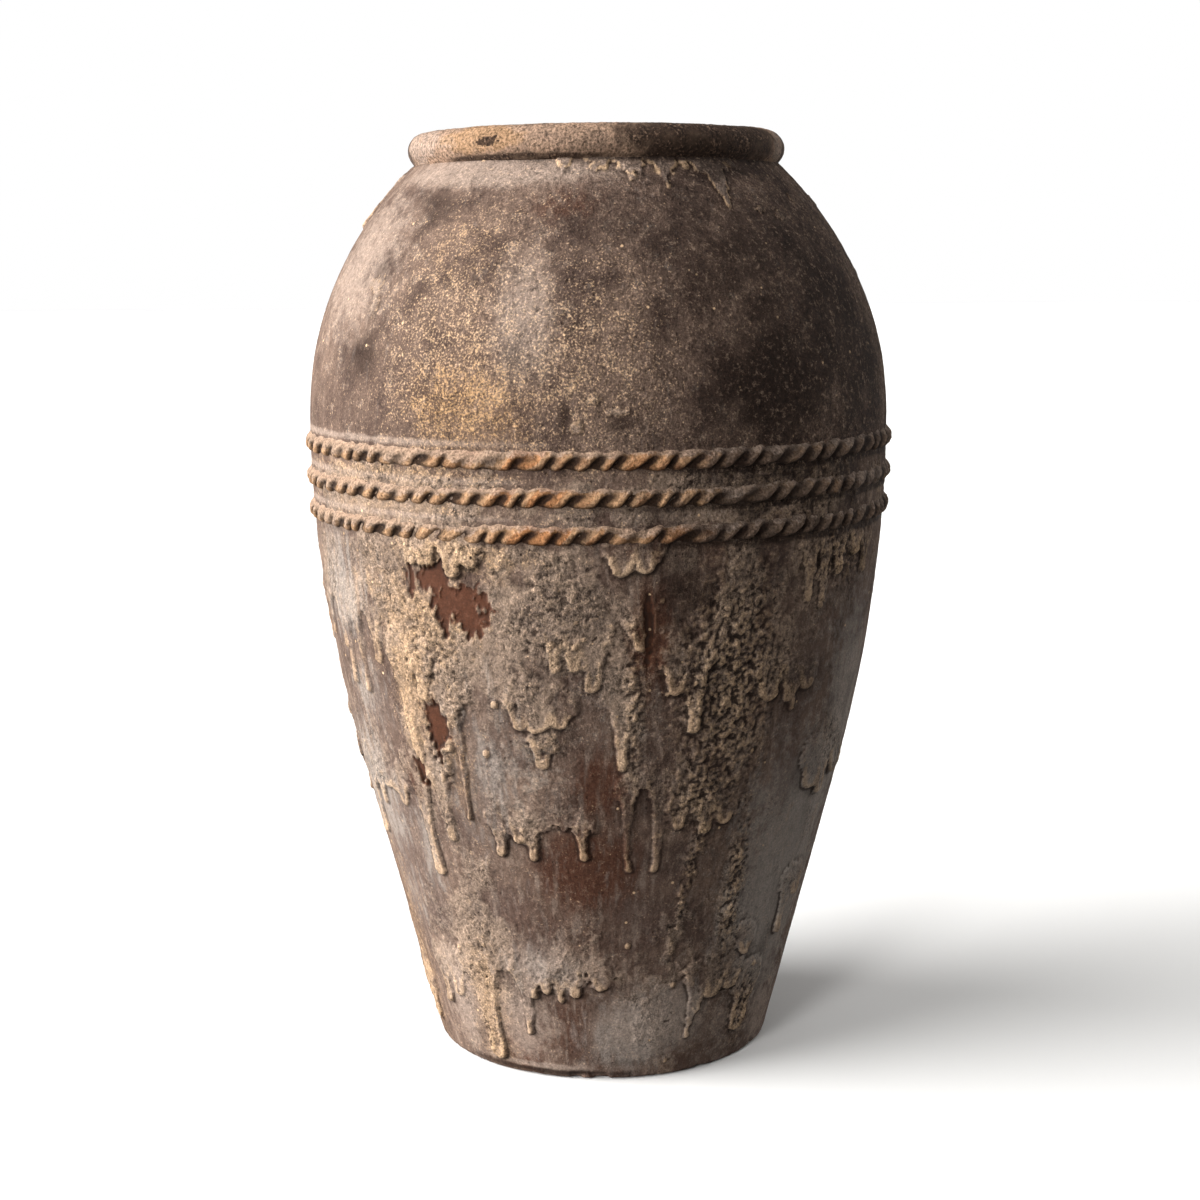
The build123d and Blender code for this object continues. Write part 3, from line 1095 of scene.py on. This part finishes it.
def sanded_terracotta():
    """Rim: hand-rolled terracotta under a skin of sandy lime, rubbed dark on one side by use and smoke."""
    # To the eye it is dull and speckled. Its dents are darkened with painted shade. Its sand is drawn 3 mm
    # apart, coarser than it is, so that it shows
    material, tree = start_material("sanded_terracotta")
    coords = add_node(tree, "ShaderNodeTexCoord", output="Object")
    grain, blotch = lay_grains(tree, coords, (2.8, 5, 0.65), (18, 7, 0.68))
    frayed = add_node(tree, "ShaderNodeMix", {0: 0.5, 2: grain, 3: blotch})
    hollow = add_node(tree, "ShaderNodeAttribute", output="Fac", attribute_name="hollow")
    colour = lay_coats(tree, "rim", [
        ("clay", (blotch, 0.42, 0.7, 1.0)),
        ("dust", broken_cover(tree, "dust", blotch, 0.7)),
        ("ochre", broken_cover(tree, "ochre", blotch, 0.6)),
        ("clay_dark", (grain, 0.5, 0.72, 0.6)),
        ("soot", broken_cover(tree, "soot", frayed, 0.88, 3.4)),
        ("rim", (frayed, 0.54, 0.66, 0.5)),
        # Painted shade in the dents
        ("soot", (hollow, 0.1, 0.9, 0.8)),
    ])
    finish_clay(tree, grained(tree, colour, grain, 3.0), 0.9, grain, 2.4)
    return material


def pressed_terracotta():
    """Rope bands: strips of soft clay pressed on with the thumb."""
    # To the eye the lobes are warm and dull with dust on top, kept to the lit left as partly painted light,
    # and greyer and darker on the right as partly painted shade. The press marks and the band's underside are
    # dark with dirt and painted shade. The grain is drawn 3 mm apart, coarser than it is, so that it shows
    material, tree = start_material("pressed_terracotta")
    coords = add_node(tree, "ShaderNodeTexCoord", output="Object")
    grain, blotch = lay_grains(tree, coords, (2.8, 5, 0.65), (22, 7, 0.68))
    hollow = add_node(tree, "ShaderNodeAttribute", output="Fac", attribute_name="hollow")
    colour = lay_coats(tree, "rope", [
        ("crust_grey", (blotch, 0.45, 0.65, 0.5)),
        ("clay_dark", (grain, 0.5, 0.75, 0.4)),
        ("ochre", broken_cover(tree, "ochre", blotch, 0.7)),
        # Grey crust, and towards the right partly painted shade
        ("crust_grey", broken_cover(tree, "crust", blotch, 0.8)),
        ("orange", broken_cover(tree, "orange", blotch, 0.7, 1.4)),
        # Dust on top of the bands, partly painted light on the lit left
        ("dust", broken_cover(tree, "dust", grain, 0.6, 1.6)),
        ("soot", broken_cover(tree, "soot", blotch, 0.85)),
        # Dirt and painted shade in the press marks and under the band
        ("soot", (hollow, 0.1, 0.7, 0.95)),
    ])
    finish_clay(tree, grained(tree, colour, grain, 1.8), 0.9, grain, 5.0)
    return material


def smoothed_terracotta():
    """Inside and underside: terracotta wiped with a wet hand."""
    # To the eye it is plain and dull, with dust in the finger lines. Its grain is drawn 3.5 mm apart, coarser
    # than it is, so that it shows
    material, tree = start_material("smoothed_terracotta")
    coords = add_node(tree, "ShaderNodeTexCoord", output="Object")
    grain, blotch, lines = lay_grains(
        tree, coords, (3.5, 5, 0.6), (60, 7, 0.65), (9, 4, 0.55, (0.08, 0.08, 1))
    )
    colour = lay_coats(tree, "inside", [
        ("clay_dark", (blotch, 0.4, 0.7, 1.0)),
        ("dust", (lines, 0.5, 0.7, 0.5)),
        ("clay_dark", (grain, 0.55, 0.75, 0.5)),
    ])
    relief = add_node(tree, "ShaderNodeMath", {0: lines, 1: 1.5, 2: grain}, operation="MULTIPLY_ADD")
    finish_clay(tree, colour, 0.88, relief, 1.2)
    return material


def inside_ring(height, radius):
    """A ring of the smoothed inside, with the low waves that fingers leave."""
    points = turned(round_angles(ROUND_INSIDE), radius, height)
    wave = 0.9 * noise(points * (0.15, 0.15, 1), 18, 21) + 1.2 * noise(points, 120, 22)
    return turned(round_angles(ROUND_INSIDE), radius + np.minimum(wave, 0.9), height)


def outer_rings(rows):
    """Rings of the dressed wall for some of its rows, and the fields that go with them."""
    angles, heights, radii, lean, relief, fields = wall_surface()
    out = radii[rows][:, None] + relief[rows] * np.cos(lean[rows])[:, None]
    up = heights[rows][:, None] + relief[rows] * np.sin(lean[rows])[:, None]
    points = turned(angles[None, :], out, up)
    return list(points), {name: values[rows] for name, values in fields.items()}


class PITHOS_OT_wall_courses(bpy.types.Operator):
    """Builds the seven wall courses with their crust"""

    bl_idname = "pithos.wall_courses"
    bl_label = "Wall courses"

    def execute(self, context):
        sizes = context.scene.pithos_sizes
        line = wall_line()
        joints = joint_heights()
        wall_surface.cache_clear()
        heights = wall_surface()[1]
        wall = sizes.wall / MM
        ridge = sizes.ridge / MM
        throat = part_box("rim_roll")[0].z / MM
        finishes = (limed_terracotta(), smoothed_terracotta())
        for step, name in enumerate(COURSES):
            low, high = joints[step], joints[step + 1]
            rows = np.flatnonzero((heights > low - 0.01) & (heights < high + 0.01))
            outside, fields = outer_rings(rows)
            last = name == COURSES[-1]
            inner_low, inner_high = low, throat if last else high
            inner_rows = np.linspace(inner_high, inner_low, round((high - low) / ROW_INSIDE))
            crest_high = (line.radius(high) + line.radius(inner_high, wall)) / 2
            crest_low = (line.radius(low) + line.radius(low, wall)) / 2
            around = round_angles(ROUND_INSIDE)
            crests = [
                turned(around, crest_high, (high + inner_high) / 2 + ridge),
                turned(around, crest_low, low - ridge if step == 0 else low + ridge),
            ]
            inside = [inside_ring(height, line.radius(height, wall)) for height in inner_rows]
            rings = [*outside, crests[0], *inside, crests[1]]
            edge = len(outside) - 1
            make_piece(name, rings, (0, edge), fields, finishes, sharp=(0, edge))
        return {"FINISHED"}


class PITHOS_OT_floor(bpy.types.Operator):
    """Builds the floor disc with its chipped foot, and dresses the coil in the corner above it"""

    bl_idname = "pithos.floor"
    bl_label = "Floor disc and corner coil"

    def execute(self, context):
        sizes = context.scene.pithos_sizes
        line = wall_line()
        joint = joint_heights()[0]
        angles, heights, _, _, _, _ = wall_surface()
        rows = np.flatnonzero(heights < joint + 0.01)
        outside, fields = outer_rings(rows)

        # The foot is rounded off and chipped along its lower edge
        foot = sizes.foot_round / MM
        for height, ring in zip(heights[rows], outside):
            chips = smooth_step(noise(ring * (1, 1, 0.5), FOOT_CHIP, 31), 0.25, 0.6)
            deepest, ended = FOOT_CHIP_HEIGHT
            cut = foot * chips * smooth_step(-height, -ended, -deepest)
            under = max(0.0, foot - height)
            cut = cut + foot - np.sqrt(max(0.0, foot**2 - under**2))
            radius = np.hypot(ring[:, 0], ring[:, 1]) - cut
            ring[:] = turned(angles, radius, np.maximum(ring[:, 2], 0))
        around = round_angles(ROUND_INSIDE)
        wall = sizes.wall / MM
        floor_radius = line.radius(joint, wall)
        base = line.base - foot
        below = [turned(around, radius, 0.0) for radius in (*UNDER_RINGS, base - UNDER_EDGE)]
        outside[0][:, 2] = 0.0
        crest = turned(around, (line.radius(joint) + floor_radius) / 2, joint - sizes.ridge / MM)
        above = [turned(around, radius, joint) for radius in (floor_radius, *FLOOR_RINGS)]
        rings = [*below, *outside, crest, *above]
        shown = (len(below), len(below) + len(outside) - 1)
        finishes = (limed_terracotta(), smoothed_terracotta())
        make_piece("base_disc", rings, shown, fields, finishes, sharp=shown, capped=True)
        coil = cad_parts["cove_coil"]
        coil.data.materials.clear()
        coil.data.materials.append(smoothed_terracotta())
        return {"FINISHED"}


def arc_through(first, middle, last, count):
    """Points of the arc through three points."""
    (ax, ay), (bx, by), (cx, cy) = first, middle, last
    across = 2 * (ax * (by - cy) + bx * (cy - ay) + cx * (ay - by))
    x = ((ax**2 + ay**2) * (by - cy) + (bx**2 + by**2) * (cy - ay) + (cx**2 + cy**2) * (ay - by)) / across
    y = ((ax**2 + ay**2) * (cx - bx) + (bx**2 + by**2) * (ax - cx) + (cx**2 + cy**2) * (bx - ax)) / across
    turns = np.unwrap([np.arctan2(py - y, px - x) for px, py in (first, middle, last)])
    turn = np.linspace(turns[0], turns[-1], count)
    reach = np.hypot(ax - x, ay - y)
    return np.stack([x + reach * np.cos(turn), y + reach * np.sin(turn)], axis=-1)


class PITHOS_OT_rim(bpy.types.Operator):
    """Builds the rolled rim"""

    bl_idname = "pithos.rim"
    bl_label = "Rim roll"

    def execute(self, context):
        sizes = context.scene.pithos_sizes
        neck = (sizes.neck_radius / MM, sizes.neck_height / MM)
        low, high = (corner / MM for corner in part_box("rim_roll"))
        top = high.z
        mouth = sizes.mouth_radius / MM
        lip = sizes.lip_round / MM
        crown = sizes.rim_crown / MM
        roll_rows, crown_rows, lip_rows, throat_rows = RIM_ROWS
        roll = arc_through(neck, (sizes.rim_radius / MM, (neck[1] + top) / 2), (crown, top), roll_rows)
        half = lip * np.sqrt(0.5)
        edge = arc_through(
            (mouth + lip, top), (mouth + lip - half, top - lip + half), (mouth, top - lip), lip_rows
        )
        level = np.linspace((crown, top), (mouth + lip, top), crown_rows)[1:-1]
        throat = np.linspace((mouth, top - lip), (mouth, low.z), throat_rows)[1:]
        outline = np.concatenate([roll, level, edge, throat])
        along = np.gradient(outline, axis=0)
        outward = np.stack([along[:, 1], -along[:, 0]], axis=-1)
        outward /= np.linalg.norm(outward, axis=1, keepdims=True)

        # Dents, sandy lumps and one chip, all inside the roll's own line at the top
        angles = round_angles(ROUND)
        points = turned(angles[None, :], outline[:, :1], outline[:, 1:])
        ends = smooth_step(np.arange(len(outline)), 0, 3)[:, None]
        relief = (
            1.1 * noise(points, 95, 41)
            + 0.45 * noise(points, 26, 42)
            + 0.3 * noise(points, 9, 43)
            + 0.25 * noise(points, 3.6, 44)
            - 0.6 * smooth_step(noise(points, 7, 45), 0.6, 0.8)
        )
        side, level, half_width, half_height = RIM_CHIP
        off = angle_between(angles, side)[None, :] / half_width
        chip = np.hypot(off, (outline[:, 1:] - level) / half_height)
        broken = 0.7 * noise(points, 7, 46) + 0.5 * noise(points, 3.5, 47)
        chipped = smooth_step(1 - chip - broken, 0, 0.15)
        relief = (relief - RIM_CHIP_DEPTH * chipped) * ends
        out = outline[:, :1] + outward[:, :1] * relief
        up = np.minimum(outline[:, 1:] + outward[:, 1:] * (relief - RIM_DROP * ends), top)
        stains = ("ochre", "soot", "dust")
        strayed = angles[None, :] + 5 * noise(points, 24, 48) + 2.5 * noise(points, 8, 49)
        fields = {name: tone(f"rim_{name}", strayed, outline[:, 1:], 4) for name in stains}
        fields["soot"] = np.maximum(fields["soot"], chipped)
        # Painted shade in the dents of the roll
        fields["hollow"] = np.clip(hollows(relief, 3) / 0.9, -1, 1)
        around = round_angles(ROUND_INSIDE)
        crest = turned(around, (neck[0] + mouth) / 2, (neck[1] + low.z) / 2 + sizes.ridge / MM)
        rings = [*turned(angles[None, :], out, up), crest]
        shown = (0, len(outline) - 1)
        finishes = (sanded_terracotta(), smoothed_terracotta())
        make_piece("rim_roll", rings, shown, fields, finishes, sharp=shown)
        return {"FINISHED"}


class PITHOS_OT_rope_bands(bpy.types.Operator):
    """Builds the three rope bands with their thumb-pressed lobes"""

    bl_idname = "pithos.rope_bands"
    bl_label = "Rope bands"

    def execute(self, context):
        sizes = context.scene.pithos_sizes
        line = wall_line()
        angles = round_angles(LOBES * LOBE_POINTS)[None, :]
        across = np.linspace(-1, 1, BAND_ROWS)[:, None]
        width = BAND_SPREAD * sizes.band_width / MM
        proud = sizes.band_proud / MM
        finish = pressed_terracotta()
        for step, name in enumerate(BANDS):
            low, high = (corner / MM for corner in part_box(name))
            middle = (low.z + high.z) / 2
            seat = turned(angles, line.radius(middle), middle)
            drift = 0.5 * noise(seat, 70, 51 + step) + 0.25 * noise(seat, 24, 54 + step)
            rightward = rightward_share(angles)
            lean = PRESS_LEAN[0] + (PRESS_LEAN[1] - PRESS_LEAN[0]) * rightward
            place = LOBES * (angles + 180) / 360 + drift + BAND_STAGGER * step - lean * across
            number = np.floor(place).astype(int) % LOBES
            chance = np.random.default_rng(SEED + 60 + step)
            press = chance.uniform(0.7, 1.0, LOBES)[number]
            spread = PRESS_WIDTH * chance.uniform(0.75, 1.3, LOBES)[number]
            worn = np.clip(tone("coarse", angles, middle + 0 * across), 0, 1)
            rubbed = smooth_step(noise(seat, 75, 64 + step), 0.05, 0.5)

            # Each mark is a dimple that leans to the right, and at the right of the jar it runs on upward
            run_on = 0.55 + 0.5 * rightward
            part = place - np.floor(place) - 0.5
            skew = np.where(part < 0, *PRESS_SKEW)
            gap = press * np.exp(-((part / (skew * spread)) ** 2))
            gap = gap * (1 - 0.4 * worn) * (1 - 0.45 * rubbed)
            off = across - PRESS_MIDDLE
            mark = gap * np.exp(-((off / np.where(off < 0, 1.1, run_on)) ** 2))
            below = (PRESS_CREST - across) / (1 + PRESS_CREST)
            above = (across - PRESS_CREST) / (1 - PRESS_CREST)
            lower_side = (1 - np.clip(below, 0, 1) ** 2.6) ** 0.6
            round_section = np.where(across < PRESS_CREST, lower_side, 1 - smooth_step(above, 0, 1.02))
            rise = proud * (1 - 0.2 * rubbed) * round_section * (1 - PRESS_DEPTH * mark)
            drawn_in = across * (1 - np.where(across < 0, 0.3 * mark, 0.25 * gap))
            heights = middle + 0.5 * width * drawn_in + 1.1 * noise(seat, 60, 57 + step)
            seats = line.radius(heights) + wobble(turned(angles, line.radius(heights), heights))
            points = turned(angles, seats, heights)
            relief = 0.6 * noise(points, 10, 61) + 0.5 * noise(points, 4, 62)
            relief = relief + 1.4 * worn * noise(points, 9, 63)
            rise = rise * (1 + 0.25 * relief) + 0.35 * relief * round_section
            rise = rise - 0.8 * (1 - round_section)
            radius = np.minimum(seats + rise, high.x - 0.1)
            fields = {key: 0.5 * tone(key, angles, heights) for key in ("ochre", "soot")}
            bared = np.exp(-((angle_between(angles, -6) / 22) ** 2))
            fields["orange"] = chance.uniform(0, 0.9, LOBES)[number] * bared
            # Towards the unlit right the bands turn grey and dark: partly grey crust, partly painted shade
            fields["crust"] = np.maximum(worn, 0.85 * smooth_step(rightward, 0.53, 0.76))
            # The underside of each band and its press marks are darkened, more on the unlit right: painted
            # shade, with dirt in the marks
            under = (0.3 + 0.3 * rightward) * smooth_step(-across, 0.6, 1.0)
            fields["hollow"] = np.clip((1.1 + 0.5 * rightward) * mark + under, 0, 1)
            # Dust on the tops of the lobes, strengthened on the lit left: partly dust, partly painted light
            settled_dust_and_painted_light = 0.7 * rubbed + 0.55 * smooth_step(rightward, 0.45, 0.1)
            fields["dust"] = smooth_step(across + 0.5 * relief + settled_dust_and_painted_light, 0.0, 0.8)
            back = [turned(angles[0], seats[row] - BAND_ROOT, heights[row]) for row in (-1, 0)]
            rings = [*turned(angles, radius, heights), *back]
            make_piece(name, rings, (0, BAND_ROWS - 1), fields, (finish,))
        return {"FINISHED"}


class PITHOS_OT_stage(bpy.types.Operator):
    """Builds the pale floor, the soft light from the left and the camera"""

    bl_idname = "pithos.stage"
    bl_label = "Stage"

    def execute(self, context):
        scene = context.scene
        mesh = bpy.data.meshes.new("studio_floor")
        corners = [(x * FLOOR_REACH, y * FLOOR_REACH, 0) for x, y in ((-1, -1), (1, -1), (1, 1), (-1, 1))]
        mesh.from_pydata(corners, [], [(0, 1, 2, 3)])
        floor = bpy.data.objects.new("studio_floor", mesh)
        scene.collection.objects.link(floor)
        # Matt white paper: no gloss, and fibres too fine to show
        paper, tree = start_material("matt_paper")
        look = {"Base Color": linear(FLOOR_COLOUR), "Roughness": 1.0}
        shader = add_node(tree, "ShaderNodeBsdfPrincipled", look)
        add_node(tree, "ShaderNodeOutputMaterial", {"Surface": shader})
        mesh.materials.append(paper)
        floor.visible_diffuse = False

        for name, side, rise, strength, softness in LIGHTS:
            sun = bpy.data.lights.new(name, "SUN")
            sun.energy = strength
            sun.angle = radians(softness)
            lamp = bpy.data.objects.new(name, sun)
            lamp.rotation_mode = "QUATERNION"
            level = np.cos(radians(rise))
            towards = (level * np.sin(radians(side)), -level * np.cos(radians(side)), np.sin(radians(rise)))
            lamp.rotation_quaternion = Vector(towards).to_track_quat("Z", "Y")
            scene.collection.objects.link(lamp)

        world = bpy.data.worlds.new("studio")
        world.use_nodes = True
        tree = world.node_tree
        tree.nodes.clear()
        direction = add_node(tree, "ShaderNodeTexCoord", output="Generated")
        upward = add_node(tree, "ShaderNodeSeparateXYZ", {0: direction}, "Z")
        fall = {"Value": upward, "From Min": -0.6, "From Max": 0.0}
        fall.update({"To Min": BOUNCE_STRENGTH, "To Max": SKY_STRENGTH})
        shed = add_node(tree, "ShaderNodeMapRange", fall)
        seen = add_node(tree, "ShaderNodeLightPath", output="Is Camera Ray")
        strength = add_node(tree, "ShaderNodeMapRange", {"Value": seen, "To Min": shed, "To Max": 1.0})
        sky = add_node(tree, "ShaderNodeBackground", {"Color": (1, 1, 1, 1), "Strength": strength})
        add_node(tree, "ShaderNodeOutputWorld", {"Surface": sky})
        scene.world = world
        scene.view_settings.view_transform = "Standard"

        camera = bpy.data.objects.new("camera", bpy.data.cameras.new("camera"))
        camera.location = CAMERA_PLACE
        camera.rotation_mode = "ZYX"
        camera.rotation_euler = (radians(90 - CAMERA_PITCH), 0, radians(CAMERA_ROLL))
        camera.data.sensor_width = SENSOR
        camera.data.lens = SENSOR * CAMERA_FOCAL_PIXELS / PICTURE_PIXELS
        scene.collection.objects.link(camera)
        scene.camera = camera
        return {"FINISHED"}


OPERATORS = (
    PITHOS_OT_wall_courses,
    PITHOS_OT_floor,
    PITHOS_OT_rim,
    PITHOS_OT_rope_bands,
    PITHOS_OT_stage,
)


class PITHOS_PT_panel(bpy.types.Panel):
    """Lists the pieces of the pithos with their sizes and colours"""

    bl_idname = "PITHOS_PT_panel"
    bl_label = "Pithos"
    bl_space_type = "VIEW_3D"
    bl_region_type = "UI"
    bl_category = "Pithos"

    def draw(self, context):
        for operator in OPERATORS:
            self.layout.operator(operator.bl_idname)
        for group in (context.scene.pithos_sizes, context.scene.pithos_colours):
            column = self.layout.column()
            for name in group.__annotations__:
                column.prop(group, name)


CLASSES = (PithosSizes, PithosColours, *OPERATORS, PITHOS_PT_panel)


def register():
    for cls in CLASSES:
        bpy.utils.register_class(cls)
    bpy.types.Scene.pithos_sizes = bpy.props.PointerProperty(type=PithosSizes)
    bpy.types.Scene.pithos_colours = bpy.props.PointerProperty(type=PithosColours)


def unregister():
    del bpy.types.Scene.pithos_colours
    del bpy.types.Scene.pithos_sizes
    for cls in reversed(CLASSES):
        bpy.utils.unregister_class(cls)


def main():
    register()
    bpy.ops.pithos.wall_courses()
    bpy.ops.pithos.floor()
    bpy.ops.pithos.rim()
    bpy.ops.pithos.rope_bands()
    bpy.ops.pithos.stage()


if __name__ == "__main__":
    main()
